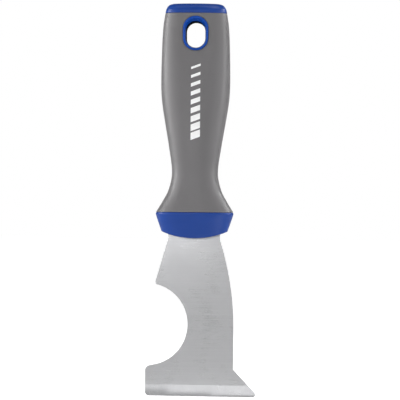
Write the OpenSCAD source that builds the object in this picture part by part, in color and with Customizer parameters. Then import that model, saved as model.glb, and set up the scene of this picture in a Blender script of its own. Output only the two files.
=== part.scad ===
// Painter's multi tool: a stiff scraper blade with a roller-cleaning notch, in a two-part
// core that is riveted through the tang, capped at both ends and covered by a soft grip.
//
// Frame: +Z runs up the tool towards the butt, +X to the right and -Y out of the front face.
// The origin is the centre of the hang hole, in the middle of the tool's thickness.

/* [Blade] */
// Width of the scraping edge, from heel to point
edge_w = 64; // [62:0.5:66]
// Length of blade that shows below the bolster
blade_len = 91.5; // [88:0.5:96]
// Thickness of the ground blade
blade_t = 2; // [1.6:0.1:2.2]
// Thickness of the unground tang
tang_t = 2.2; // [2:0.1:2.4]
// Thickness left at the scraping edge
edge_t = 0.5; // [0.3:0.1:0.8]
// Height of the ground bevel
bevel_h = 6.4; // [4:0.2:8]
// Radius of the roller-cleaning notch
notch_r = 23.8; // [22:0.2:25]
// Width of the tang inside the handle
tang_w = 15; // [12:0.5:15.5]

/* [Handle] */
// Width across the butt, at the end cap's joint
butt_w = 35.8; // [35:0.2:38]
// Width across the palm
palm_w = 40; // [38:0.1:42]
// Width across the neck
neck_w = 26.7; // [26:0.1:29]
// Width across the flare, where the bolster starts
flare_w = 44.8; // [43:0.1:46]
// Depth from front to back at the butt
butt_d = 20.8; // [20:0.2:23]
// Depth from front to back at the palm
palm_d = 26.8; // [25:0.2:29]
// Depth from front to back at the neck
neck_d = 20.4; // [20:0.2:23]
// Depth from front to back at the flare
flare_d = 24.4; // [23:0.2:26]
// Length of the soft grip
grip_len = 115.2; // [112:0.2:120]
// Thickness of the soft grip over the core
skin = 2.8; // [2.2:0.1:3]
// Height of the end cap above the grip
cap_h = 5.8; // [5:0.2:7]
// Height of the bolster in the middle
bolster_h = 15.1; // [14:0.1:18]

/* [Hang hole] */
// Width of the hole
hole_w = 11.1; // [10:0.1:11.5]
// Height of the hole
hole_h = 14.9; // [13.5:0.1:15.5]
// Width of the trim ring round the hole
ring_w = 14.6; // [14.4:0.1:15.2]
// Height of the trim ring round the hole
ring_h = 19.9; // [19.2:0.1:20]

/* [Rivets] */
// Diameter of the rivet heads
head_dia = 8; // [7:0.5:9]
// Diameter of the solid post
post_dia = 3; // [2.5:0.1:3.2]
// Outside diameter of the hollow socket
socket_dia = 5; // [4.6:0.1:5.2]

/* [Hidden] */

steel = [0.72, 0.72, 0.74];
bright_steel = [0.62, 0.62, 0.64];
trim_blue = [0.17, 0.28, 0.58];
grip_grey = [0.44, 0.43, 0.44];

// Heights of the joints, measured from the hang hole
seam_top = 12.6;
seam_low = seam_top - grip_len;
cap_top = seam_top + cap_h;
bolster_low = seam_low - bolster_h;
edge_z = bolster_low - blade_len;

sides = 48;        // points round every section
grip_rows = 44;    // rows of facets along the grip
core_rows = 22;    // rows of facets along the core
gap = 0.05;        // clearance where one piece slides into another
over = 1;          // how far a cutting shape runs past what it cuts

// ---- Handle sections: [height, half width, half depth, squareness] from flare to butt ----
grip_form = [
    [seam_low, flare_w / 2, flare_d / 2, 2.6],
    [seam_low + 5.6, flare_w / 2 - 3.4, flare_d / 2 - 1, 2.6],
    [seam_low + 12.6, neck_w / 2 + 2, neck_d / 2 + 0.3, 2.5],
    [seam_low + 22.6, neck_w / 2, neck_d / 2, 2.5],
    [seam_low + 37.6, neck_w / 2 + 1.8, neck_d / 2 + 1.4, 2.5],
    [seam_low + 52.6, palm_w / 2 - 2.3, palm_d / 2 - 0.4, 2.5],
    [seam_low + 64.6, palm_w / 2 - 0.5, palm_d / 2, 2.5],
    [seam_low + 74.6, palm_w / 2, palm_d / 2 - 0.4, 2.6],
    [seam_low + 95.6, palm_w / 2 - 0.35, butt_d / 2 + 0.7, 2.8],
    [seam_low + 107.6, butt_w / 2 + 1.1, butt_d / 2 + 0.5, 2.9],
    [seam_top, butt_w / 2, butt_d / 2, 3]
];
cap_form = [
    [seam_top, butt_w / 2, butt_d / 2, 3],
    [seam_top + 0.4 * cap_h, butt_w / 2 - 0.5, butt_d / 2 - 0.4, 3],
    [seam_top + 0.7 * cap_h, butt_w / 2 - 1.4, butt_d / 2 - 1.2, 2.9],
    [seam_top + 0.9 * cap_h, butt_w / 2 - 2.7, butt_d / 2 - 2.4, 2.8],
    [cap_top, butt_w / 2 - 4.6, butt_d / 2 - 4.2, 2.7]
];
bolster_corner = seam_low - 11.3;
bolster_form = [
    [bolster_low - 0.5, flare_w / 2 - 4.7, flare_d / 2 - 5, 2.4],
    [bolster_corner, flare_w / 2 - 3.3, flare_d / 2 - 3.2, 2.5],
    [seam_low - 1.2, flare_w / 2 + 0.1, flare_d / 2, 2.6],
    [seam_low, flare_w / 2 - 0.1, flare_d / 2 - 0.2, 2.6]
];

// Row of the form that height z falls in
function row_of(form, z, i = 0) =
    i >= len(form) - 2 || z <= form[i + 1][0] ? i : row_of(form, z, i + 1);

function slope(form, i, c) =
    let (a = max(i - 1, 0), b = min(i + 1, len(form) - 1))
    (form[b][c] - form[a][c]) / (form[b][0] - form[a][0]);

// Column c of the form at height z, on a smooth curve through the rows
function at(form, z, c) =
    let (i = row_of(form, z), step = form[i + 1][0] - form[i][0], u = (z - form[i][0]) / step)
    form[i][c] * (2 * u ^ 3 - 3 * u ^ 2 + 1) + slope(form, i, c) * step * (u ^ 3 - 2 * u ^ 2 + u)
    + form[i + 1][c] * (3 * u ^ 2 - 2 * u ^ 3) + slope(form, i + 1, c) * step * (u ^ 3 - u ^ 2);

function bulge(t, e) = sign(t) * abs(t) ^ e;

// One section, pulled in by inset, from angle a0 through turn degrees
function section(form, z, inset = 0, a0 = 0, turn = 360) =
    let (w = at(form, z, 1) - inset, d = at(form, z, 2) - inset, e = 2 / at(form, z, 3),
        n = round(sides * turn / 360), last = turn < 360 ? n : n - 1)
    [for (i = [0:last]) let (a = a0 + 360 * i / sides)
        [w * bulge(cos(a), e), d * bulge(sin(a), e), z]];

function heights(low, high, rows) = [for (i = [0:rows]) low + (high - low) * i / rows];

function lifted(ring, dz) = [for (p = ring) [p[0], p[1], p[2] + dz]];

// Solid skinned over a list of rings that climb and run anticlockwise seen from above
module loft(rings) {
    n = len(rings[0]);
    top = (len(rings) - 1) * n;
    polyhedron(
        points = [for (r = rings) each r],
        faces = concat(
            [[for (i = [0:n - 1]) i]],
            [for (k = [0:len(rings) - 2], i = [0:n - 1])
                [k * n + i, (k + 1) * n + i, (k + 1) * n + (i + 1) % n]],
            [for (k = [0:len(rings) - 2], i = [0:n - 1])
                [k * n + i, (k + 1) * n + (i + 1) % n, k * n + (i + 1) % n]],
            [[for (i = [n - 1:-1:0]) top + i]]));
}

// Prism along Y over an outline in [x, z], from y0 back to y1
module along_y(outline, y0, y1)
    translate([0, y1, 0]) rotate([90, 0, 0]) linear_extrude(y1 - y0) polygon(outline);

function arc(centre, r, a0, a1, n) =
    [for (i = [0:n]) let (a = a0 + (a1 - a0) * i / n) centre + r * [cos(a), sin(a)]];

// Upright slot outline with round ends
function slot(w, h, z = 0) = concat(
    arc([0, z + (h - w) / 2], w / 2, 0, 180, 16),
    arc([0, z - (h - w) / 2], w / 2, 180, 360, 16));

function unit(v) = v / norm(v);

// Arc of radius r that rounds corner b between a and c
function fillet(a, b, c, r, n = 6) =
    let (u = unit(a - b), v = unit(c - b), half = acos(u * v) / 2,
        centre = b + unit(u + v) * r / sin(half),
        p = b + u * r / tan(half) - centre, q = b + v * r / tan(half) - centre,
        a0 = atan2(p[1], p[0]), turn = atan2(p[0] * q[1] - p[1] * q[0], p * q))
    arc(centre, r, a0, a0 + turn, n);

// Outline through corners of [point, radius]; a radius of 0 keeps the point sharp
function rounded(corners) =
    let (n = len(corners))
    [for (i = [0:n - 1]) let (b = corners[i])
        each b[1] == 0 ? [b[0]]
            : fillet(corners[(i + n - 1) % n][0], b[0], corners[(i + 1) % n][0], b[1])];

// ---- Blade ----
heel_x = -28;
side_x = 23.1;                          // straight right side
side_r = 170;                           // sweep of the right side up to the bolster
throat = [side_x, edge_z + 15.5];       // where the point starts
point_r = 1.5;
point_half = 22.8;                      // half the point's angle
point_x = heel_x + edge_w + point_r * (cos(point_half) / sin(point_half) - 1);
edge_drop = 0.5;                        // how much lower the point is than the heel
notch = [-27.4, edge_z + 41.5];
lip_x = heel_x + 4.8;                   // where the notch runs out towards the heel
lip_drop = 0.9;                         // fall of the notch's lower lip from there to the heel
hook_x = -22.5;
hook_top = [-15.3, bolster_low - 0.4];  // left side, just below the bolster
sweep_z = edge_z + 38.4;                // where the right side starts to curve in
front_ground = bolster_low + 3;         // the front is ground up to a step inside the bolster
rear_ground = bolster_low - 0.3;        // the rear, to a step just below it
shoulder_z = seam_low - 7.3;
shoulder_x = 15.1;
tang_end = -17;
rivet_z = [-35, -61, -87];

hook_a = acos((hook_x + 0.6 - notch[0]) / notch_r);
lip_a = acos((lip_x - notch[0]) / notch_r);
sweep_a = asin((hook_top[1] - sweep_z) / side_r);

function blade_outline() = rounded(concat(
    [[[-shoulder_x, shoulder_z], 1.5], [hook_top, 0], [[hook_x, notch[1] + 24.8], 0.9]],
    [for (p = arc(notch, notch_r, hook_a, -lip_a, 40)) [p, 0]],
    [[[heel_x, notch[1] - notch_r * sin(lip_a) - lip_drop], 2.8],
        [[heel_x, edge_z], 2.2],
        [[point_x, edge_z - edge_drop], point_r],
        [throat, 0.5]],
    [for (p = arc([side_x - side_r, sweep_z], side_r, 0, sweep_a, 16)) [p, 0]],
    [[[shoulder_x, shoulder_z], 1.5],
        [[tang_w / 2, shoulder_z], 0],
        [[tang_w / 2, tang_end], 4],
        [[-tang_w / 2, tang_end], 4],
        [[-tang_w / 2, shoulder_z], 0]]));

// What grinding takes off one face to leave the blade's thickness, up to this height
module ground_away(y, top)
    translate([-50, y, edge_z - 5]) cube([100, over, top - edge_z + 5]);

module blade() color(steel) difference() {
    along_y(blade_outline(), -tang_t / 2, tang_t / 2);
    ground_away(-blade_t / 2 - over, front_ground);
    ground_away(blade_t / 2, rear_ground);
    // the bevel, on the front face only
    rotate([0, atan(edge_drop / edge_w), 0]) translate([-50, 0, 0]) rotate([90, 0, 90])
        linear_extrude(100) polygon([
            [-blade_t / 2 - over, edge_z + bevel_h + over * bevel_h / (blade_t - edge_t)],
            [blade_t / 2 - edge_t + 0.2, edge_z - 0.2 * bevel_h / (blade_t - edge_t)],
            [blade_t / 2 - edge_t + 0.2, edge_z - 3],
            [-blade_t / 2 - over, edge_z - 3]]);
    for (z = rivet_z)
        translate([0, over + tang_t / 2, z]) rotate([90, 0, 0])
            cylinder(d = socket_dia + 0.3, h = tang_t + 2 * over, $fn = 48);
}

// ---- Core: two identical halves, one turned round to face the other ----
tenon_w = 25;
tenon_d = 11.6;
low_tenon = seam_low - 7.2;
top_tenon = seam_top + 2.8;
head_seat = 5.2;              // depth of the rivet heads' seats from the middle plane
head_h = 1.2;                 // thickness of the rivet heads
peg_dia = 3.6;
peg_z = [2, -26, -97.5];
peg_x = [13, 12, 12.5];
ring_wall = 1.2;              // wall of the trim rings' tubes

module tenon(z0, z1)
    translate([-tenon_w / 2, -tenon_d / 2, z0]) cube([tenon_w, tenon_d / 2, z1 - z0]);

module core_pocket(x0, x1, z0, z1, floor_y)
    along_y(rounded([[[x0, z0], 1], [[x1, z0], 1], [[x1, z1], 1], [[x0, z1], 1]]), -floor_y, over);

module core_half() color(trim_blue) difference() {
    union() {
        loft([for (z = heights(seam_low, seam_top, core_rows))
            section(grip_form, z, skin, 180, 180)]);
        tenon(low_tenon, seam_low + over);
        tenon(seam_top - over, top_tenon);
        for (i = [0:2])
            translate([peg_x[i], 2, peg_z[i]]) rotate([90, 0, 0])
                cylinder(d = peg_dia, h = 4, $fn = 32);
    }
    // tang recess
    along_y([[-tang_w / 2 - gap, low_tenon - over], [tang_w / 2 + gap, low_tenon - over],
        [tang_w / 2 + gap, tang_end + gap], [-tang_w / 2 - gap, tang_end + gap]],
        -tang_t / 2, over);
    along_y(slot(hole_w + 2 * ring_wall, hole_h + 2 * ring_wall), -20, over);
    for (i = [0:2])
        translate([-peg_x[i], over, peg_z[i]]) rotate([90, 0, 0])
            cylinder(d = peg_dia + 2 * gap, h = over + 2.2, $fn = 32);
    // rivet bores and head seats
    for (z = rivet_z) {
        translate([0, over, z]) rotate([90, 0, 0])
            cylinder(d = socket_dia, h = 20, $fn = 48);
        translate([0, -head_seat, z]) rotate([90, 0, 0])
            cylinder(d = head_dia, h = 20, $fn = 48);
    }
    // cored-out pockets between the ribs, behind the tang and either side of it
    for (i = [0:1])
        for (s = [-1, 1])
            core_pocket(s < 0 ? -6.2 : 1.2, s < 0 ? -1.2 : 6.2,
                rivet_z[i + 1] + 6.5, rivet_z[i] - 6.5, 5.4 - i);
    for (s = [-1, 1]) {
        core_pocket(s < 0 ? -13.6 : 9.4, s < 0 ? -9.4 : 13.6, -44, -30.5, 5);
        core_pocket(s < 0 ? -13.6 : 9.4, s < 0 ? -9.4 : 13.6, -21.5, -13, 5);
    }
}

module core_front() core_half();

module core_rear() rotate([0, 0, 180]) core_half();

// ---- Soft grip ----
dish_z = -2;
dish_depth = 0.8;
dish_r = 105;

module grip_sleeve() color(grip_grey) difference() {
    loft([for (z = heights(seam_low, seam_top, grip_rows)) section(grip_form, z)]);
    difference() {
        loft(concat(
            [lifted(section(grip_form, seam_low, skin), -over)],
            [for (z = heights(seam_low, seam_top, core_rows)) section(grip_form, z, skin)],
            [lifted(section(grip_form, seam_top, skin), over)]));
        // plugs that fill the core's rivet seats and lock the grip in place
        for (z = rivet_z, s = [-1, 1])
            translate([0, s < 0 ? -head_seat - head_h : 20, z]) rotate([90, 0, 0])
                cylinder(d = head_dia, h = 20 - head_seat - head_h, $fn = 48);
    }
    along_y(slot(hole_w + 2 * ring_wall, hole_h + 2 * ring_wall), -20, 20);
    for (s = [0, 180])
        rotate([0, 0, s]) {
            along_y(slot(ring_w, ring_h, ring_rise), -20, ring_face + ring_t);
            // shallow thumb dish round the ring
            translate([0, dish_depth - at(grip_form, dish_z, 2) - dish_r, dish_z])
                sphere(r = dish_r, $fn = 120);
        }
}

// ---- Trim rings of the hang hole, two identical mouldings that meet in the middle ----
ring_rise = 0.85;                        // how much higher the ring is than the hole
ring_face = -butt_d / 2 - 0.6;           // front of the ring
ring_t = 1.5;                            // thickness of its flange

module hole_ring() color(trim_blue) difference() {
    union() {
        along_y(slot(ring_w, ring_h, ring_rise), ring_face, ring_face + ring_t);
        along_y(slot(hole_w + 2 * ring_wall, hole_h + 2 * ring_wall), ring_face + ring_t, 0);
    }
    along_y(slot(hole_w, hole_h), ring_face - over, over);
    // lead-in, steepest at the sides and widest above the hole
    hull() {
        along_y(slot(hole_w, hole_h), ring_face + 3.2, ring_face + 3.3);
        along_y(slot(hole_w + 1.2, hole_h + 2.6, 0.7), ring_face - 0.1, ring_face);
    }
}

module hole_ring_front() hole_ring();

module hole_ring_rear() rotate([0, 0, 180]) hole_ring();

// ---- Bolster ----
bolster_arc = (at(bolster_form, bolster_corner, 1) ^ 2
    + (bolster_corner - bolster_low) ^ 2) / 2 / (bolster_corner - bolster_low);

module bolster() color(trim_blue) difference() {
    intersection() {
        loft([for (z = heights(bolster_low - 0.5, seam_low, 12)) section(bolster_form, z)]);
        // rounded lower edge, seen from the front
        translate([0, 20, bolster_low + bolster_arc]) rotate([90, 0, 0])
            cylinder(r = bolster_arc, h = 40, $fn = 180);
    }
    // seat for the core's lower tenon
    translate([-tenon_w / 2 - gap, -tenon_d / 2 - gap, low_tenon - gap])
        cube([tenon_w + 2 * gap, tenon_d + 2 * gap, 20]);
    // slot for the blade
    translate([-shoulder_x - 0.2, -tang_t / 2 - gap, bolster_low - 5])
        cube([2 * shoulder_x + 0.4, tang_t + 2 * gap, shoulder_z - bolster_low + 5 + gap]);
}

// ---- End cap ----
module end_cap() color(trim_blue) difference() {
    loft([for (z = heights(seam_top, cap_top, 10)) section(cap_form, z)]);
    translate([-tenon_w / 2 - gap, -tenon_d / 2 - gap, seam_top - over])
        cube([tenon_w + 2 * gap, tenon_d + 2 * gap, top_tenon - seam_top + over + gap]);
}

// ---- Compression rivets: a solid post pressed into a hollow socket ----
module rivet_post(z) color(bright_steel) translate([0, -head_seat, z]) rotate([-90, 0, 0]) {
    translate([0, 0, -head_h]) cylinder(d = head_dia, h = head_h, $fn = 48);
    translate([0, 0, -0.1]) cylinder(d = post_dia, h = 2 * head_seat - 0.9, $fn = 48);
}

module rivet_socket(z) color(bright_steel) translate([0, head_seat, z]) rotate([90, 0, 0])
    difference() {
        union() {
            translate([0, 0, -head_h]) cylinder(d = head_dia, h = head_h, $fn = 48);
            translate([0, 0, -0.1]) cylinder(d = socket_dia, h = 2 * head_seat + 0.1, $fn = 48);
        }
        cylinder(d = post_dia, h = 2 * head_seat + over, $fn = 48);
    }

blade();
core_front();
core_rear();
bolster();
end_cap();
grip_sleeve();
hole_ring_front();
hole_ring_rear();
for (i = [0:2]) {
    rivet_post(rivet_z[i]);
    rivet_socket(rivet_z[i]);
}
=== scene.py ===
"""Looks of the painter's multi tool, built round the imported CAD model.

The blade, the two core halves and the rivets keep their CAD shape and get new finishes. The
soft grip, bolster, end cap and trim rings are rebuilt here with rounded edges and a fine mesh.
The frame is the CAD's: +Z runs towards the butt, -Y out of the front face, and the origin is
the centre of the hang hole. Lengths are in millimetres, but the lights' places and sizes and
the floor's size are in metres.
"""

import math

import bmesh
import bpy
import numpy as np
from mathutils import Matrix, Vector


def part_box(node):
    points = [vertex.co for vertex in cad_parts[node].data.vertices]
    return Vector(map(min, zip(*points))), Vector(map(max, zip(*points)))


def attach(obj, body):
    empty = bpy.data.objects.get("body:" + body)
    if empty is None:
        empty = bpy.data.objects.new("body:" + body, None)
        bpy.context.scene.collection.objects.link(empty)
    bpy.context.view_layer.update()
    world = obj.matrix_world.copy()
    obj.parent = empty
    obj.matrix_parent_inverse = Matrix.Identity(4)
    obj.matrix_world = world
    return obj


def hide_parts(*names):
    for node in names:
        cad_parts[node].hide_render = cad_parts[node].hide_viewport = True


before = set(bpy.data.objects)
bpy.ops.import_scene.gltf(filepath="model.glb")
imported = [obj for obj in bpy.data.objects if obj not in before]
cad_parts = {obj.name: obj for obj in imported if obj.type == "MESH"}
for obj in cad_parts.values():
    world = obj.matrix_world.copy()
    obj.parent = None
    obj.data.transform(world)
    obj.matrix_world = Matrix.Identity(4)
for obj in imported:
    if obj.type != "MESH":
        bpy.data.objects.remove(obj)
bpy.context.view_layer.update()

MM = 0.001


def box_mm(node):
    """Lowest and highest corner of a CAD node, in millimetres."""
    low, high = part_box(node)
    return np.array(low) / MM, np.array(high) / MM


# ---- Sizes: heights and outer sizes from the CAD boxes, the rest as in the part's source ----
sleeve_box = box_mm("grip_sleeve")
cap_box = box_mm("end_cap")
bolster_box = box_mm("bolster")
ring_box = box_mm("hole_ring_front")
blade_box = box_mm("blade")

SEAM_LOW = sleeve_box[0][2]
SEAM_TOP = sleeve_box[1][2]
CAP_H = cap_box[1][2] - SEAM_TOP
BOLSTER_LOW = bolster_box[0][2]
EDGE_Z = blade_box[0][2]

FLARE_W = sleeve_box[1][0]      # half widths and half depths of the handle
BUTT_W = cap_box[1][0]
BUTT_D = cap_box[1][1]
NECK_W = 13.35
PALM_W = 20
FLARE_D = 12.2
NECK_D = 10.2
PALM_D = 13.4
SKIN = 2.8                      # thickness of the soft grip

TENON_W = 12.55                 # half sizes of the pockets that take the core's tenons
TENON_D = 5.85
POCKET_SLOPE = 0.05             # half the rise of the lower pocket's floor
POCKET_SQUARE = 8               # squareness of the pockets' and the slot's corners
LOW_TENON = SEAM_LOW - 7.25
TOP_TENON = SEAM_TOP + 2.85
TANG_W = 15.3                   # half sizes of the bolster's slot for the blade
TANG_D = 1.15

DISH_Z = -2                     # shallow thumb dish round the hang hole, on both faces
DISH_DEPTH = 0.8
DISH_R = 105
DISH_BLEND = 0.5                # how softly the dish runs out
DISH_REACH = 60                 # farthest from its middle that the sphere is followed

RING_LOW = ring_box[0][2]
RING_TOP = ring_box[1][2]
HOLE = (5.55, 7.45, 0.0)        # half width, half height and centre height of the slots
MOUTH = (6.15, 8.75, 0.7)
FLANGE = (ring_box[1][0], (RING_TOP - RING_LOW) / 2, (RING_TOP + RING_LOW) / 2)
TUBE_WALL = 1.2                 # thickness of the ring's tube
RING_FACE = -ring_box[0][1]     # distance of the ring's face from the middle plane
RING_T = 1.5                    # thickness of its flange
FUNNEL = 3.2                    # depth of the ring's lead-in

# Handle sections: height, half width, half depth, squareness
GRIP = np.array([
    [SEAM_LOW, FLARE_W, FLARE_D, 2.6],
    [SEAM_LOW + 5.6, FLARE_W - 3.4, FLARE_D - 1, 2.6],
    [SEAM_LOW + 12.6, NECK_W + 2, NECK_D + 0.3, 2.5],
    [SEAM_LOW + 22.6, NECK_W, NECK_D, 2.5],
    [SEAM_LOW + 37.6, NECK_W + 1.8, NECK_D + 1.4, 2.5],
    [SEAM_LOW + 52.6, PALM_W - 2.3, PALM_D - 0.4, 2.5],
    [SEAM_LOW + 64.6, PALM_W - 0.5, PALM_D, 2.5],
    [SEAM_LOW + 74.6, PALM_W, PALM_D - 0.4, 2.6],
    [SEAM_LOW + 95.6, PALM_W - 0.35, BUTT_D + 0.7, 2.8],
    [SEAM_LOW + 107.6, BUTT_W + 1.1, BUTT_D + 0.5, 2.9],
    [SEAM_TOP, BUTT_W, BUTT_D, 3],
])
CAP_CROWN = 0.35                # rise of the cap's top from its rim to its middle
CAP_SIDE = CAP_H - CAP_CROWN
CAP = np.array([
    [SEAM_TOP, BUTT_W, BUTT_D, 3],
    [SEAM_TOP + 0.4 * CAP_SIDE, BUTT_W - 0.5, BUTT_D - 0.4, 3],
    [SEAM_TOP + 0.7 * CAP_SIDE, BUTT_W - 1.4, BUTT_D - 1.2, 2.9],
    [SEAM_TOP + 0.9 * CAP_SIDE, BUTT_W - 2.7, BUTT_D - 2.4, 2.8],
    [SEAM_TOP + CAP_SIDE, BUTT_W - 4.6, BUTT_D - 4.2, 2.7],
])
CORNER = SEAM_LOW - 11.3        # height of the bolster's lower corners
BOLSTER = np.array([
    [BOLSTER_LOW - 0.5, FLARE_W - 4.7, FLARE_D - 5, 2.4],
    [CORNER, FLARE_W - 3.3, FLARE_D - 3.2, 2.5],
    [SEAM_LOW - 1.2, FLARE_W + 0.1, FLARE_D, 2.6],
    [SEAM_LOW, FLARE_W - 0.1, FLARE_D - 0.2, 2.6],
])

COLUMNS = 192                   # points round a handle section
TURN = 2 * np.pi * np.arange(COLUMNS) / COLUMNS
SLOT_POINTS = 128               # points round a trim ring
SHARP = math.radians(50)        # edges over this angle are shaded sharp


# ---- Curves and sections ----
def at(form, z, column):
    """Column of the form at the heights z, on the smooth curve that the CAD follows."""
    heights = form[:, 0]
    values = form[:, column]
    slopes = np.empty_like(values)
    slopes[1:-1] = (values[2:] - values[:-2]) / (heights[2:] - heights[:-2])
    slopes[0] = (values[1] - values[0]) / (heights[1] - heights[0])
    slopes[-1] = (values[-1] - values[-2]) / (heights[-1] - heights[-2])
    i = np.clip(np.searchsorted(heights, z) - 1, 0, len(heights) - 2)
    step = heights[i + 1] - heights[i]
    u = (z - heights[i]) / step
    start = values[i] * (2 * u**3 - 3 * u**2 + 1) + slopes[i] * step * (u**3 - 2 * u**2 + u)
    end = values[i + 1] * (3 * u**2 - 2 * u**3) + slopes[i + 1] * step * (u**3 - u**2)
    return start + end


def section(form, z, inset=0.0):
    """Ring of points round the form, pulled in by inset; z may differ from column to column."""
    z = np.broadcast_to(np.asarray(z, float), TURN.shape)
    w = at(form, z, 1) - inset
    d = at(form, z, 2) - inset
    n = at(form, z, 3)
    reach = (np.abs(np.cos(TURN) / w) ** n + np.abs(np.sin(TURN) / d) ** n) ** (-1 / n)
    return np.stack([reach * np.cos(TURN), reach * np.sin(TURN), z], axis=1)


def pocket(ring, w, d, z):
    """A rounded rectangle at height z, with its points spread over x as the ring's are."""
    x = ring[:, 0] * w / ring[:, 0].max()
    y = d * (1 - np.minimum(np.abs(x / w), 1) ** POCKET_SQUARE) ** (1 / POCKET_SQUARE)
    return np.stack([x, np.sign(np.round(ring[:, 1], 6)) * y, np.broadcast_to(z, x.shape)], axis=1)


def slot_ring(size, grow, angles):
    """Outline [x, z] of an upright slot with round ends, grown outwards, seen at these angles."""
    w, h, rise = size
    straight = h - w
    radius = w + grow
    c = np.abs(np.cos(angles))
    s = np.abs(np.sin(angles))
    on_side = radius * s <= straight * c
    to_side = radius / np.maximum(c, 1e-9)
    to_end = straight * s + np.sqrt(np.maximum(radius**2 - (straight * c) ** 2, 0))
    reach = np.where(on_side, to_side, to_end)
    return np.stack([reach * np.cos(angles), rise + reach * np.sin(angles)], axis=1)


def rounding(radius, steps):
    """Points (along, inset) of a quarter-round edge, from the end face to the side."""
    turns = np.linspace(0, math.pi / 2, steps + 1)
    return [(radius * (1 - math.cos(a)), radius * (1 - math.sin(a))) for a in turns]


def dished(x, depth, z):
    """Half depth of the grip where the spherical thumb dish cuts into it, softly blended."""
    middle = at(GRIP, np.asarray(float(DISH_Z)), 2) + DISH_R - DISH_DEPTH
    away = np.minimum(np.abs(z - DISH_Z), DISH_REACH)
    cut = middle - np.sqrt(DISH_R**2 - x**2 - away**2)
    near = np.maximum(DISH_BLEND - np.abs(depth - cut), 0) / DISH_BLEND
    return np.minimum(depth, cut) - near**2 * DISH_BLEND / 4


def grip_depth(x, z, inset=0.0):
    """Distance of the grip's face from the middle plane at x, z; the inner face has no dish."""
    w = at(GRIP, z, 1) - inset
    d = at(GRIP, z, 2) - inset
    n = at(GRIP, z, 3)
    depth = d * (1 - np.abs(x / w) ** n) ** (1 / n)
    return depth if inset else dished(x, depth, z)


# ---- Meshes ----
def strip(first, second, closed=True):
    """Quads between two rows of point numbers; closed joins the rows' ends too."""
    count = len(first)
    sides = [(i, (i + 1) % count) for i in range(count if closed else count - 1)]
    return [(first[i], first[j], second[j], second[i]) for i, j in sides]


def skinned(rings, loop=False):
    """Point list and quads of a skin over rings; a loop joins the last ring to the first."""
    count = len(rings[0])
    rows = [np.arange(count) + i * count for i in range(len(rings))]
    pairs = list(zip(rows, rows[1:] + rows[:1]))
    faces = []
    for first, second in pairs if loop else pairs[:-1]:
        faces += strip(first, second)
    return np.concatenate(rings), faces


def make_piece(name, points, faces, finish, node=None):
    """Smooth closed mesh from points in millimetres, riding on the tool's one body."""
    mesh = bpy.data.meshes.new(name)
    mesh.from_pydata((np.asarray(points) * MM).tolist(), [], [list(map(int, f)) for f in faces])
    work = bmesh.new()
    work.from_mesh(mesh)
    bmesh.ops.recalc_face_normals(work, faces=work.faces)
    work.to_mesh(mesh)
    work.free()
    mesh.shade_smooth()
    mesh.set_sharp_from_angle(angle=SHARP)
    mesh.materials.append(finish)
    piece = bpy.data.objects.new(name, mesh)
    bpy.context.scene.collection.objects.link(piece)
    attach(piece, "root")
    if node:
        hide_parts(node)
    return piece


# ---- Soft grip ----
GRIP_ROWS = 150
GRIP_EDGE = 0.4                 # rounding of the grip's two ends
WINDOW_COLUMNS = 22             # half the columns left out round the hang hole
WINDOW_BELOW = 2.2              # how far that window runs below and above the trim ring
WINDOW_ABOVE = 0.8
LIP = 0.35                      # rounding where the grip meets the trim ring
LIP_GAP = 0.04                  # gap between the two
RIM_STEPS = (0.3, 0.6, 0.85, 1.0)   # loops on the way from the window's edge to the ring
TUBE_STEPS = (0.0, 0.35, 0.7)   # loops on the way from the ring's tube to the inner window
HOLE_SIDES = {-1: 3 * COLUMNS // 4, 1: COLUMNS // 4}    # middle columns of the front and back


def grip_rings(heights):
    """Rings of the closed grip shell, up the outside and down the inside, and two counts.

    The counts are the rings below the first of these heights and all the rings outside.
    """
    edge = rounding(GRIP_EDGE, 4)[:-1]
    low = [(SEAM_LOW + along, inset) for along, inset in edge]
    top = [(SEAM_TOP - along, inset) for along, inset in edge]
    outside = low + [(z, 0.0) for z in heights] + top[::-1]
    inside = [(SEAM_TOP, SKIN)] + [(z, SKIN) for z in heights[::-1]] + [(SEAM_LOW, SKIN)]
    rings = []
    for z, inset in outside:
        ring = section(GRIP, z, inset)
        ring[:, 1] = np.sign(ring[:, 1]) * dished(ring[:, 0], np.abs(ring[:, 1]), z)
        rings.append(ring)
    return rings + [section(GRIP, z, inset) for z, inset in inside], len(low), len(outside)


def window_edge(rows, first, last):
    """Point numbers round a window of the grid, from column first to last over these rows."""
    across = range(first, last)
    numbers = [rows[0] * COLUMNS + c for c in across]
    numbers += [r * COLUMNS + last for r in rows[:-1]]
    numbers += [rows[-1] * COLUMNS + c + 1 for c in reversed(across)]
    numbers += [r * COLUMNS + first for r in rows[:0:-1]]
    return numbers


def hole_loops(outer, inner, side):
    """Loops that lead from the outer window's edge through the hang hole to the inner one's."""
    angles = np.arctan2(outer[:, 2] - FLANGE[2], outer[:, 0])
    rim = slot_ring(FLANGE, LIP_GAP + LIP, angles)
    tube = slot_ring(HOLE, TUBE_WALL + LIP_GAP, angles)
    floor = RING_FACE - RING_T
    loops = []
    for t in RIM_STEPS:
        plan = outer[:, [0, 2]] * (1 - t) + rim * t
        loops.append((plan, grip_depth(plan[:, 0], plan[:, 1])))
    for along, inset in rounding(LIP, 4)[1:]:
        plan = slot_ring(FLANGE, LIP_GAP + inset, angles)
        loops.append((plan, grip_depth(plan[:, 0], plan[:, 1]) - along))
    plan = slot_ring(FLANGE, LIP_GAP, angles)
    loops.append((plan, np.full(len(plan), floor)))
    loops.append((tube, np.full(len(tube), floor)))
    for t in TUBE_STEPS:
        plan = tube * (1 - t) + inner[:, [0, 2]] * t
        loops.append((plan, grip_depth(plan[:, 0], plan[:, 1], SKIN)))
    return [np.stack([p[:, 0], side * y, p[:, 1]], axis=1) for p, y in loops]


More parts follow.
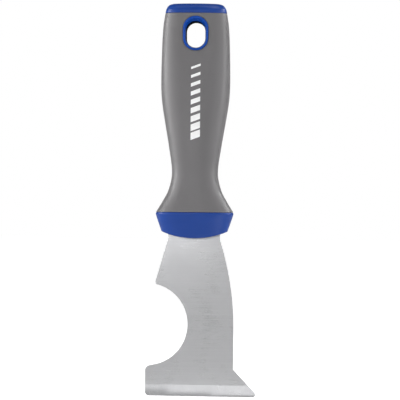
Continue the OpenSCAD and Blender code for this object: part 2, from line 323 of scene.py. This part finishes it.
def hole_wall(points, outer, inner, side):
    """Quads of the wall round the hang hole on one side; its points are added to the list."""
    edges = [np.array([points[i] for i in edge]) for edge in (outer, inner)]
    faces = []
    previous = outer
    for loop in hole_loops(*edges, side):
        numbers = list(range(len(points), len(points) + len(loop)))
        points += list(loop)
        faces += strip(previous, numbers)
        previous = numbers
    return faces + strip(previous, inner)


def shell_quads(rows, left_out):
    """Quads of the closed shell's grid, without those in the windows."""
    numbers = np.arange(rows * COLUMNS).reshape(rows, COLUMNS)
    faces = []
    for r, row in enumerate(numbers):
        quads = strip(row, numbers[(r + 1) % rows])
        faces += [quad for c, quad in enumerate(quads) if (r, c) not in left_out]
    return faces


def grip_sleeve(finish):
    """Closed shell of the soft grip, with the hang hole let in from the front and the back."""
    heights = np.linspace(SEAM_LOW + GRIP_EDGE, SEAM_TOP - GRIP_EDGE, GRIP_ROWS)
    rings, before, outside = grip_rings(heights)
    in_window = (heights > RING_LOW - WINDOW_BELOW) & (heights < RING_TOP + WINDOW_ABOVE)
    rows = np.flatnonzero(in_window)
    outer_rows = rows + before
    inner_rows = outside + GRIP_ROWS - rows
    points = list(np.concatenate(rings))
    left_out = set()
    faces = []
    for side, centre in HOLE_SIDES.items():
        first = centre - WINDOW_COLUMNS
        last = centre + WINDOW_COLUMNS
        left_out |= {(r, c) for r in outer_rows[:-1] for c in range(first, last)}
        left_out |= {(r, c) for r in inner_rows[1:] for c in range(first, last)}
        outer = window_edge(outer_rows, first, last)
        inner = window_edge(inner_rows, first, last)
        faces += hole_wall(points, outer, inner, side)
    faces += shell_quads(len(rings), left_out)
    make_piece("soft_grip", points, faces, finish, "grip_sleeve")


# ---- Bolster ----
BOLSTER_EDGE = 0.5              # rounding of its upper edge
BOLSTER_RIM = 0.8               # rounding of its lower edge
BOLSTER_ROWS = 26
RIM_ROUNDS = 8                  # enough for the rim's height and the width there to agree
FACE_STEPS = (0.33, 0.67, 0.93, 1.0)    # rings of the lower face, from its rim to the slot


def bolster_floor(x):
    """Height of the bolster's curved lower face."""
    rise = CORNER - BOLSTER_LOW
    radius = (at(BOLSTER, np.asarray(CORNER), 1) ** 2 + rise**2) / 2 / rise
    return BOLSTER_LOW + radius - np.sqrt(radius**2 - x**2)


def bolster(finish):
    """Bolster from its upper edge down, over its lower face and up through its hollow."""
    rim = np.full(COLUMNS, BOLSTER_LOW)
    for _ in range(RIM_ROUNDS):
        rim = bolster_floor(section(BOLSTER, rim, BOLSTER_RIM / 2)[:, 0])
    rings = []
    for along, inset in rounding(BOLSTER_EDGE, 5):
        rings.append(section(BOLSTER, SEAM_LOW - along, inset))
    for t in np.linspace(0, 1, BOLSTER_ROWS)[1:]:
        rings.append(section(BOLSTER, (SEAM_LOW - BOLSTER_EDGE) * (1 - t) + (rim + BOLSTER_RIM) * t))
    for along, inset in rounding(BOLSTER_RIM, 6)[-2::-1]:
        rings.append(section(BOLSTER, rim + along, inset))
    edge = rings[-1]
    mouth = pocket(edge, TANG_W, TANG_D, 0)
    mouth[:, 2] = bolster_floor(mouth[:, 0])
    for t in FACE_STEPS:
        ring = edge * (1 - t) + mouth * t
        ring[:, 2] = bolster_floor(ring[:, 0])
        rings.append(ring)
    rings.append(pocket(edge, TANG_W, TANG_D, LOW_TENON - POCKET_SLOPE))
    rings.append(pocket(edge, TENON_W, TENON_D, LOW_TENON + POCKET_SLOPE))
    rings.append(pocket(edge, TENON_W, TENON_D, SEAM_LOW))
    points, faces = skinned(rings, loop=True)
    make_piece("bolster_collar", points, faces, finish, "bolster")


# ---- End cap ----
CAP_EDGE = 0.35                 # rounding of the cap's lower edge
CAP_ROWS = 18
CROWN_STEPS = (0.92, 0.8, 0.6, 0.4, 0.2, 0.05)  # sizes of the rings on its top, to its middle


def end_cap(finish):
    """End cap from its pocket out to the edge, up its side and over its crown."""
    base = section(CAP, SEAM_TOP)
    rings = [pocket(base, TENON_W, TENON_D, TOP_TENON), pocket(base, TENON_W, TENON_D, SEAM_TOP)]
    for along, inset in rounding(CAP_EDGE, 4):
        rings.append(section(CAP, SEAM_TOP + along, inset))
    for t in np.sin(np.linspace(0, math.pi / 2, CAP_ROWS + 1))[1:]:
        rings.append(section(CAP, SEAM_TOP + CAP_EDGE + (CAP_SIDE - CAP_EDGE) * t))
    rim = rings[-1].copy()
    for t in CROWN_STEPS:
        ring = rim * t
        ring[:, 2] = SEAM_TOP + CAP_SIDE + CAP_CROWN * (1 - t**2)
        rings.append(ring)
    points, faces = skinned(rings)
    faces.append(tuple(range(COLUMNS)))
    faces.append(tuple(range(len(points) - COLUMNS, len(points))))
    make_piece("butt_cap", points, faces, finish, "end_cap")


# ---- Trim rings of the hang hole ----
RING_EDGE = 0.45                # rounding of the flange's outer edge
MOUTH_EDGE = 0.35               # rounding at the mouth of the lead-in
BACK_EDGE = 0.15                # chamfer of the flange's back edge
BORE_START = 0.78               # how far down the lead-in the painted shade of the bore begins
BORE_STEP = 0.4                 # first stretch of the straight bore
INNER_END = 0.01                # distance of the tube's end from the middle plane
FUNNEL_STEPS = (0.3, 0.6, BORE_START, 0.96, 1.0)


def hole_ring(name, node, side, finish, shade_lining):
    """One ring; side is -1 for the front and 1 for the rear, which is the same turned round."""
    angles = 2 * np.pi * np.arange(SLOT_POINTS) / SLOT_POINTS
    back = RING_FACE - RING_T
    profile = [(HOLE, TUBE_WALL, INNER_END), (HOLE, TUBE_WALL, back)]
    profile.append((FLANGE, -BACK_EDGE, back))
    profile.append((FLANGE, 0, back + BACK_EDGE))
    profile += [(FLANGE, -along, RING_FACE - inset) for along, inset in rounding(RING_EDGE, 6)]
    profile += [(MOUTH, inset, RING_FACE - along) for along, inset in rounding(MOUTH_EDGE, 5)]
    rings = [(slot_ring(size, grow, angles), depth) for size, grow, depth in profile]
    mouth = slot_ring(MOUTH, 0, angles)
    hole = slot_ring(HOLE, 0, angles)
    top = RING_FACE - MOUTH_EDGE
    for t in FUNNEL_STEPS:
        rings.append((mouth * (1 - t) + hole * t, top * (1 - t) + (RING_FACE - FUNNEL) * t))
    for depth in (RING_FACE - FUNNEL - BORE_STEP, INNER_END):
        rings.append((hole, depth))
    solid = [np.stack([-side * p[:, 0], np.full(len(p), side * y), p[:, 1]], axis=1) for p, y in rings]
    points, faces = skinned(solid, loop=True)
    ring = make_piece(name, points, faces, finish, node)
    # faces deep in the bore take the near-black lining: painted shade where the hole lies in shadow
    ring.data.materials.append(shade_lining)
    for face in ring.data.polygons:
        if abs(face.center.y) < (RING_FACE - FUNNEL * BORE_START) * MM:
            face.material_index = 1


# ---- Printed mark: plain slanted bars ----
MARK_TOP = -14.0
MARK_LOW = -60.0
MARK_HALF = 2.7                 # half its width
MARK_X = 0.33                   # its middle
MARK_SLANT = 1.0                # how much higher a bar's right end is than its middle
MARK_BARS = 9
MARK_FILL = 0.82                # share of its pitch that the lowest bar fills
MARK_THINNER = 0.07             # how much less each next bar fills
MARK_PROUD = 0.03               # thickness of the ink over the grip
MARK_SUNK = 0.05                # how far the bar's back lies inside the grip
MARK_COLUMNS = 14
MARK_ROWS = 6


def mark_bar(low, high):
    """Points and faces of one thin closed bar that follows the grip's front face."""
    x = np.linspace(-MARK_HALF, MARK_HALF, MARK_COLUMNS) + MARK_X
    rows = np.linspace(low, high, MARK_ROWS)
    lean = (x - MARK_X) / MARK_HALF * MARK_SLANT
    sheets = []
    for off in (MARK_PROUD, -MARK_SUNK):
        for z in rows:
            sheets.append(np.stack([x, -(grip_depth(x, z + lean) + off), z + lean], axis=1))
    points = np.concatenate(sheets)
    grid = np.arange(len(points)).reshape(2, MARK_ROWS, MARK_COLUMNS)
    faces = []
    for sheet in grid:
        for first, second in zip(sheet, sheet[1:]):
            faces += strip(first, second, closed=False)
    around = [np.concatenate([s[0], s[1:-1, -1], s[-1, ::-1], s[-2:0:-1, 0]]) for s in grid]
    faces += strip(*around)
    return points, faces


def printed_mark(finish):
    """Bars that get thinner towards the butt, a generic mark of no maker."""
    pitch = (MARK_TOP - MARK_LOW) / MARK_BARS
    points = []
    faces = []
    for i in range(MARK_BARS):
        low = MARK_LOW + i * pitch
        bar, quads = mark_bar(low, low + pitch * (MARK_FILL - MARK_THINNER * i))
        faces += [[number + len(points) for number in quad] for quad in quads]
        points += list(bar)
    make_piece("printed_bars", points, faces, finish)


# ---- Shader helpers ----
def new_finish(name, **constants):
    """A node material and its Principled shader, with the constant sockets set."""
    finish = bpy.data.materials.new(name)
    finish.use_nodes = True
    shader = finish.node_tree.nodes["Principled BSDF"]
    for key, value in constants.items():
        shader.inputs[key.replace("_", " ")].default_value = value
    return finish, finish.node_tree, shader


def add(tree, kind, inputs=(), **settings):
    """A node; each of its inputs, by name or number, is a value or another node's output."""
    made = tree.nodes.new("ShaderNode" + kind)
    for key, value in settings.items():
        setattr(made, key, value)
    for key, value in dict(inputs).items():
        if isinstance(value, bpy.types.NodeSocket):
            tree.links.new(value, made.inputs[key])
        else:
            made.inputs[key].default_value = value
    return made


def place(tree, stretch):
    """Object coordinates in millimetres, each axis multiplied by stretch."""
    spot = add(tree, "TexCoord").outputs["Object"]
    scale = [s / MM for s in stretch]
    return add(tree, "Mapping", {"Vector": spot, "Scale": scale}).outputs[0]


def noise(tree, size, stretch=(1, 1, 1), detail=3.0, rough=0.55):
    """Noise with lumps of about this size in millimetres."""
    inputs = {"Vector": place(tree, stretch), "Scale": 1 / size, "Detail": detail, "Roughness": rough}
    return add(tree, "TexNoise", inputs).outputs[0]


def remap(tree, value, low, high, to_low=0.0, to_high=1.0):
    """The value, moved smoothly from one range to another and clamped."""
    inputs = {"Value": value, "From Min": low, "From Max": high, "To Min": to_low, "To Max": to_high}
    return add(tree, "MapRange", inputs, interpolation_type="SMOOTHSTEP").outputs[0]


def maths(tree, operation, a, b=0.0):
    """Result of a maths node; b is left at 0 where the operation takes one value."""
    return add(tree, "Math", {0: a, 1: b}, operation=operation).outputs[0]


def tint(tree, factor, a, b):
    """Colour a where factor is 0 and b where it is 1; sockets 6, 7 and 2 are the colours."""
    return add(tree, "Mix", {0: factor, 6: a, 7: b}, data_type="RGBA").outputs[2]


def bumped(tree, height, depth, normal=None):
    """Normal of a surface with this height texture, depth in millimetres from 0 to 1."""
    inputs = {"Height": height, "Distance": depth * MM, "Strength": 1.0}
    if normal:
        inputs["Normal"] = normal
    return add(tree, "Bump", inputs).outputs[0]


EDGE_WEAR_AND_HIGHLIGHT = (0.995, 0.93)       # cosine of true and softened normal: edge wear, and on the grip a painted highlight, begin, are full


def edge_wear_and_highlight(tree, radius):
    """1 on edges sharper than this radius in millimetres, 0 on the flat."""
    soft = add(tree, "Bevel", {"Radius": radius * MM}, samples=6).outputs[0]
    true = add(tree, "NewGeometry").outputs["Normal"]
    along = add(tree, "VectorMath", {0: soft, 1: true}, operation="DOT_PRODUCT").outputs["Value"]
    patchy = noise(tree, 1.6, detail=4.0)
    sharp = remap(tree, along, *EDGE_WEAR_AND_HIGHLIGHT)
    return maths(tree, "MULTIPLY", sharp, remap(tree, patchy, 0.35, 0.65, 0.25, 1.0))


# ---- Colours: the two tones a finish varies between, then its speck, cloud, wear or painted highlight ----
GRIP_TONES = ((0.144, 0.140, 0.144, 1), (0.161, 0.156, 0.160, 1))
GRIP_SPECK = (0.113, 0.110, 0.115, 1)
# paler grip edges: partly wear and partly a painted highlight
GRIP_EDGE_WEAR_AND_HIGHLIGHT = (0.27, 0.265, 0.27, 1)
MOULDING_TONES = ((0.004, 0.043, 0.254, 1), (0.006, 0.051, 0.298, 1))
TRIM_TONES = ((0.004, 0.060, 0.350, 1), (0.006, 0.069, 0.400, 1))
CORE_TONES = ((0.007, 0.050, 0.280, 1), (0.011, 0.064, 0.340, 1))
BLUE_WORN = (0.075, 0.135, 0.36, 1)
# painted shade: the near-black tones inside the trim rings' bore
BORE_SHADE_TONES = ((0.002, 0.003, 0.008, 1), (0.004, 0.008, 0.026, 1))
STEEL_TONES = ((0.485, 0.487, 0.498, 1), (0.508, 0.510, 0.520, 1))
STEEL_CLOUD = (0.466, 0.467, 0.480, 1)
STEEL_WORN = (0.80, 0.80, 0.81, 1)
SHEARED_TONES = ((0.16, 0.16, 0.165, 1), (0.30, 0.30, 0.31, 1))
INK_TONES = ((0.95, 0.95, 0.95, 1), (0.66, 0.66, 0.66, 1))
FLOOR_TONES = ((0.80, 0.80, 0.80, 1), (0.84, 0.84, 0.84, 1))
WHITE = (1, 1, 1, 1)

# ---- Finishes ----
CUT_FACING = (0.45, 0.25)       # Y of a normal, either way: the sheared look begins, is full
BEVEL_LEAN = (-0.12, -0.18)     # Z of a normal: the bevel's hairlines begin, are full
BEVEL_END = (-0.5, -0.4)        # Z of a normal: they are gone, are full
FACE_LINES = (0.012, 1, 1)      # stretch of the noise: hairlines along X on the blade's faces
BEVEL_LINES = (1, 1, 0.02)      # along Z on its bevel
TURNED_LINES = (1, 0.05, 1)     # along Y on the rivets
FLOOR_GLOW = 0.90               # lift of the floor towards white


def grip_finish():
    """Grey soft-touch elastomer: fine moulded grain, handling shine, wear and a painted highlight on
    edges.
    """
    finish, tree, shader = new_finish(
        "grey_elastomer", Sheen_Weight=0.22, Sheen_Roughness=0.35, Specular_IOR_Level=0.5)
    tone = tint(tree, noise(tree, 38, detail=2.0), *GRIP_TONES)
    speck = remap(tree, noise(tree, 0.5, detail=2.0), 0.56, 0.72, 0, 0.35)
    tone = tint(tree, speck, tone, GRIP_SPECK)
    # paler sharp edges: partly wear and partly a painted highlight where the rounded edges catch light
    tone = tint(tree, edge_wear_and_highlight(tree, 0.45), tone, GRIP_EDGE_WEAR_AND_HIGHLIGHT)
    grain = noise(tree, 0.32, detail=2.0, rough=0.6)
    handling = noise(tree, 9, detail=4.0)
    tree.links.new(tone, shader.inputs["Base Color"])
    tree.links.new(remap(tree, handling, 0.3, 0.7, 0.35, 0.45), shader.inputs["Roughness"])
    waves = bumped(tree, noise(tree, 7, detail=1.0), 0.03)
    tree.links.new(bumped(tree, grain, 0.03, waves), shader.inputs["Normal"])
    return finish


def blue_finish(name, tones, rough_from, gloss=0.5):
    """Blue moulded plastic: spark-eroded texture, faint flow marks and rubbed edges."""
    finish, tree, shader = new_finish(name, Specular_IOR_Level=gloss, IOR=1.49)
    tone = tint(tree, noise(tree, 14, (1, 1, 2.5), detail=3.0), *tones)
    tone = tint(tree, edge_wear_and_highlight(tree, 0.35), tone, BLUE_WORN)
    spark = noise(tree, 0.25, detail=3.0, rough=0.65)
    rub = noise(tree, 5, (0.4, 1, 2), detail=5.0)
    scratch = remap(tree, noise(tree, 0.7, (0.05, 1, 1), detail=1.0), 0.70, 0.76)
    dull = maths(tree, "MULTIPLY", scratch, 0.12)
    rough = maths(tree, "ADD", remap(tree, rub, 0.3, 0.7, rough_from, rough_from + 0.1), dull)
    tree.links.new(tone, shader.inputs["Base Color"])
    tree.links.new(rough, shader.inputs["Roughness"])
    tree.links.new(bumped(tree, spark, 0.012), shader.inputs["Normal"])
    return finish


def bore_shade_finish():
    """Painted shade in the trim rings' bore: rough, matt and nearly black where the hole lies in
    shadow.
    """
    finish, tree, shader = new_finish("bore_painted_shade", Specular_IOR_Level=0.03)
    # painted shade in patches; the darker patches are rougher
    shade_patches = remap(tree, noise(tree, 2.5, (1, 0.4, 1), detail=4.0), 0.4, 0.7)
    tone = tint(tree, shade_patches, *BORE_SHADE_TONES)
    tree.links.new(tone, shader.inputs["Base Color"])
    tree.links.new(remap(tree, shade_patches, 0.0, 1.0, 0.92, 0.78), shader.inputs["Roughness"])
    tree.links.new(bumped(tree, noise(tree, 0.25, detail=3.0), 0.015), shader.inputs["Normal"])
    return finish


def steel_finish(name, along, across):
    """Ground steel: hairlines along one axis on the faces and along the other on the bevel."""
    finish, tree, shader = new_finish(name, Metallic=1.0)
    normal = add(tree, "SeparateXYZ", {0: add(tree, "NewGeometry").outputs["True Normal"]})
    lean = normal.outputs["Z"]
    cut = remap(tree, maths(tree, "ABSOLUTE", normal.outputs["Y"]), *CUT_FACING)
    on_bevel = maths(tree, "MULTIPLY", remap(tree, lean, *BEVEL_LEAN), remap(tree, lean, *BEVEL_END))
    fine = tint(tree, on_bevel, noise(tree, 0.12, along, 3.0), noise(tree, 0.1, across, 3.0))
    broad = tint(tree, on_bevel, noise(tree, 0.8, along, 2.0), noise(tree, 0.6, across, 2.0))
    cloud = noise(tree, 16, detail=4.0)
    tone = tint(tree, remap(tree, broad, 0.3, 0.7), *STEEL_TONES)
    tone = tint(tree, remap(tree, cloud, 0.35, 0.75, 0.0, 0.5), tone, STEEL_CLOUD)
    sheared = tint(tree, noise(tree, 0.25, (1, 0.15, 1)), *SHEARED_TONES)
    tone = tint(tree, cut, tone, sheared)
    tone = tint(tree, edge_wear_and_highlight(tree, 0.3), tone, STEEL_WORN)
    uneven = remap(tree, fine, 0.3, 0.7, -0.04, 0.06)
    rough = maths(tree, "ADD", remap(tree, cloud, 0.3, 0.7, 0.27, 0.36), uneven)
    rough = maths(tree, "ADD", rough, maths(tree, "MULTIPLY", cut, 0.28))
    tree.links.new(tone, shader.inputs["Base Color"])
    tree.links.new(rough, shader.inputs["Roughness"])
    tree.links.new(bumped(tree, fine, 0.0025), shader.inputs["Normal"])
    return finish


def ink_finish():
    """White print, a little thin and uneven where the hand rubs it."""
    finish, tree, shader = new_finish("white_print", Specular_IOR_Level=0.4)
    thin = remap(tree, noise(tree, 0.9, detail=5.0, rough=0.7), 0.62, 0.78, 0, 0.3)
    tone = tint(tree, thin, *INK_TONES)
    tree.links.new(tone, shader.inputs["Base Color"])
    tree.links.new(remap(tree, noise(tree, 4), 0.3, 0.7, 0.42, 0.55), shader.inputs["Roughness"])
    tree.links.new(bumped(tree, noise(tree, 0.3), 0.008), shader.inputs["Normal"])
    return finish


def floor_finish():
    """Pale studio floor, lifted to near white where it is seen directly."""
    finish, tree, shader = new_finish("pale_floor", Specular_IOR_Level=0.0, Roughness=0.9)
    tone = tint(tree, noise(tree, 60), *FLOOR_TONES)
    seen = add(tree, "LightPath").outputs["Is Camera Ray"]
    shader.inputs["Emission Color"].default_value = WHITE
    tree.links.new(tone, shader.inputs["Base Color"])
    tree.links.new(maths(tree, "MULTIPLY", seen, FLOOR_GLOW), shader.inputs["Emission Strength"])
    return finish


# ---- The CAD nodes that stay ----
EDGE_BREAK = 0.13               # rounding of the blade's edges
EDGE_ANGLE = math.radians(12)   # edges over this angle are rounded
EDGE_SEGMENTS = 3
WELD = 0.002                    # points closer than this count as one


def keep_node(name, finish, edge=0.0):
    """A CAD node with a new finish and, if edge is given, its sharp edges rounded by it."""
    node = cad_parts[name]
    for held in node.material_slots:
        held.material = finish
    if edge:
        weld = node.modifiers.new("weld", "WELD")
        weld.merge_threshold = WELD * MM
        bevel = node.modifiers.new("rounding", "BEVEL")
        bevel.width = edge * MM
        bevel.segments = EDGE_SEGMENTS
        bevel.limit_method = "ANGLE"
        bevel.angle_limit = EDGE_ANGLE
        bevel.harden_normals = False


# ---- Studio ----
FLOOR_GAP = 0.3                 # how far the floor lies below the blade's edge
FLOOR_HALF = 8.0                # half its side in metres
FLOOR_Z = (EDGE_Z - FLOOR_GAP) * MM
TOOL_MIDDLE = (0, 0, -0.09)     # where most boxes point, in metres
FRONT_Y = (-0.70, -0.98)        # Y of a direction: the light from the front begins, is full
BACK_Y = (0.80, 0.97)           # Y of a direction: the light from the back begins, is full
CARD_LIFT = 0.0004              # how far a card lies above the floor, in metres
CARD_LEAN = 0.0001              # how far it aims to the front, which lays its width along X


def studio_floor(finish):
    """Square floor just below the blade's edge, which isn't part of the tool."""
    far = FLOOR_HALF
    corners = [(-far, -far, FLOOR_Z), (far, -far, FLOOR_Z), (far, far, FLOOR_Z), (-far, far, FLOOR_Z)]
    mesh = bpy.data.meshes.new("studio_floor")
    mesh.from_pydata(corners, [], [(0, 1, 2, 3)])
    mesh.materials.append(finish)
    floor = bpy.data.objects.new("studio_floor", mesh)
    bpy.context.scene.collection.objects.link(floor)


def softbox(name, spot, aim, width, height, power):
    """Area light at spot, facing aim, both in metres."""
    data = bpy.data.lights.new(name, "AREA")
    data.shape = "RECTANGLE"
    data.size = width
    data.size_y = height
    data.energy = power
    light = bpy.data.objects.new(name, data)
    light.location = spot
    light.rotation_euler = (Vector(aim) - Vector(spot)).to_track_quat("-Z", "Y").to_euler()
    light.visible_camera = False
    bpy.context.scene.collection.objects.link(light)


def studio_world(ahead, behind, around):
    """White to the camera; as a light, strong ahead of and behind the tool and weak around it."""
    world = bpy.data.worlds.new("studio")
    world.use_nodes = True
    tree = world.node_tree
    tree.nodes.clear()
    way = add(tree, "SeparateXYZ", {0: add(tree, "TexCoord").outputs["Generated"]})
    front = remap(tree, way.outputs["Y"], *FRONT_Y, 0.0, ahead - around)
    back = remap(tree, way.outputs["Y"], *BACK_Y, 0.0, behind - around)
    strength = maths(tree, "ADD", maths(tree, "ADD", front, back), around)
    lit = add(tree, "Background", {"Strength": strength})
    seen = add(tree, "Background", {"Strength": 1.0})
    for light in (lit, seen):
        light.inputs["Color"].default_value = WHITE
    is_seen = add(tree, "LightPath").outputs["Is Camera Ray"]
    mix = add(tree, "MixShader", {0: is_seen, 1: lit.outputs[0], 2: seen.outputs[0]})
    add(tree, "OutputWorld", {"Surface": mix.outputs[0]})
    bpy.context.scene.world = world


# Name, degrees round the tool from the front, height it stands at, width, height, watts
SOFTBOXES = (
    ("key_left", -88, -0.05, 0.5, 1.2, 12.5),
    ("front_left", -57, -0.05, 0.4, 1.2, 4.0),
    ("front_right", 50, -0.05, 0.3, 1.2, 2.2),
    ("side_right", 82, -0.05, 0.3, 1.2, 5.8),
    ("high_right", 112, 0.45, 0.4, 0.4, 3.6),
    ("low_right", 112, -0.45, 0.4, 0.4, 4.5),
)
# Name, place, aim, width, height, watts: two boxes over the tool and the blade's small one
AIMED_BOXES = (
    ("top_right", (0.32, -0.20, 0.85), TOOL_MIDDLE, 0.5, 0.5, 2.3),
    ("top_left", (-0.32, -0.20, 0.85), TOOL_MIDDLE, 0.5, 0.5, 0.8),
    ("blade_glow", (-0.036, -0.22, -0.095), (-0.03, 0, -0.105), 0.075, 0.045, 0.032),
)
# Name, place on the floor (x, y), width, length, watts of the cards that lie there facing up
FLOOR_CARDS = (
    ("heel_card", -0.0300, -0.022, 0.030, 0.029, 0.0016),
    ("bevel_card", -0.0025, -0.0195, 0.025, 0.031, 0.0017),
    ("point_card", 0.0375, -0.0185, 0.055, 0.034, 0.0038),
    ("card_right", 0.120, -0.105, 0.10, 0.10, 0.030),
    ("card_left", -0.125, -0.110, 0.08, 0.10, 0.004),
)


def studio_lights():
    """Softboxes round and over the tool, and cards on the floor that light the bevel."""
    for name, degrees, height, width, tall, power in SOFTBOXES:
        turn = math.radians(degrees)
        softbox(name, (math.sin(turn), -math.cos(turn), height), TOOL_MIDDLE, width, tall, power)
    for box in AIMED_BOXES:
        softbox(*box)
    for name, x, y, width, length, power in FLOOR_CARDS:
        softbox(name, (x, y, FLOOR_Z + CARD_LIFT), (x, y - CARD_LEAN, 0), width, length, power)


# ---- Camera ----
AIM = (3.05, 0.0, -95.5)        # point of the tool in the middle of the picture
FRAME_WIDTH = 232               # width of the picture at the tool
CAMERA_AWAY = 2000              # distance from that point
CAMERA_ROUND = math.radians(1.75)   # how far it stands round to the right
CAMERA_ROLL = math.radians(0.5)
SENSOR = 36                     # width of the film
CLIP_NEAR = 0.1                 # metres
CLIP_FAR = 100


def make_camera():
    """Long lens in front of the tool, level with the middle of the picture."""
    data = bpy.data.cameras.new("camera")
    data.sensor_width = SENSOR
    data.lens = SENSOR * CAMERA_AWAY / FRAME_WIDTH
    data.clip_start = CLIP_NEAR
    data.clip_end = CLIP_FAR
    camera = bpy.data.objects.new("camera", data)
    back = Vector((math.sin(CAMERA_ROUND), -math.cos(CAMERA_ROUND), 0))
    camera.rotation_mode = "QUATERNION"
    roll = Matrix.Rotation(CAMERA_ROLL, 3, "Z").to_quaternion()
    camera.rotation_quaternion = (-back).to_track_quat("-Z", "Y") @ roll
    camera.location = (Vector(AIM) + back * CAMERA_AWAY) * MM
    bpy.context.scene.collection.objects.link(camera)
    bpy.context.scene.camera = camera


# ---- The tool ----
RIVETS = 3


def build():
    """Every piece of the tool, and the finishes of the CAD nodes that stay."""
    blue = blue_finish("blue_moulding", MOULDING_TONES, rough_from=0.29, gloss=0.38)
    trim = blue_finish("blue_trim", TRIM_TONES, rough_from=0.36, gloss=0.2)
    bore = bore_shade_finish()
    hidden_blue = blue_finish("blue_core", CORE_TONES, rough_from=0.45)
    grip_sleeve(grip_finish())
    bolster(blue)
    end_cap(blue)
    hole_ring("trim_ring_front", "hole_ring_front", -1, trim, bore)
    hole_ring("trim_ring_rear", "hole_ring_rear", 1, trim, bore)
    printed_mark(ink_finish())
    keep_node("blade", steel_finish("ground_steel", FACE_LINES, BEVEL_LINES), EDGE_BREAK)
    turned = steel_finish("turned_steel", TURNED_LINES, TURNED_LINES)
    for name in ("core_front", "core_rear"):
        keep_node(name, hidden_blue)
    for i in range(1, RIVETS + 1):
        keep_node(f"rivet_post_{i}", turned)
        keep_node(f"rivet_socket_{i}", turned)


build()
studio_floor(floor_finish())
studio_world(ahead=1.05, behind=0.44, around=0.10)
studio_lights()
make_camera()
bpy.context.scene.view_settings.view_transform = "Standard"
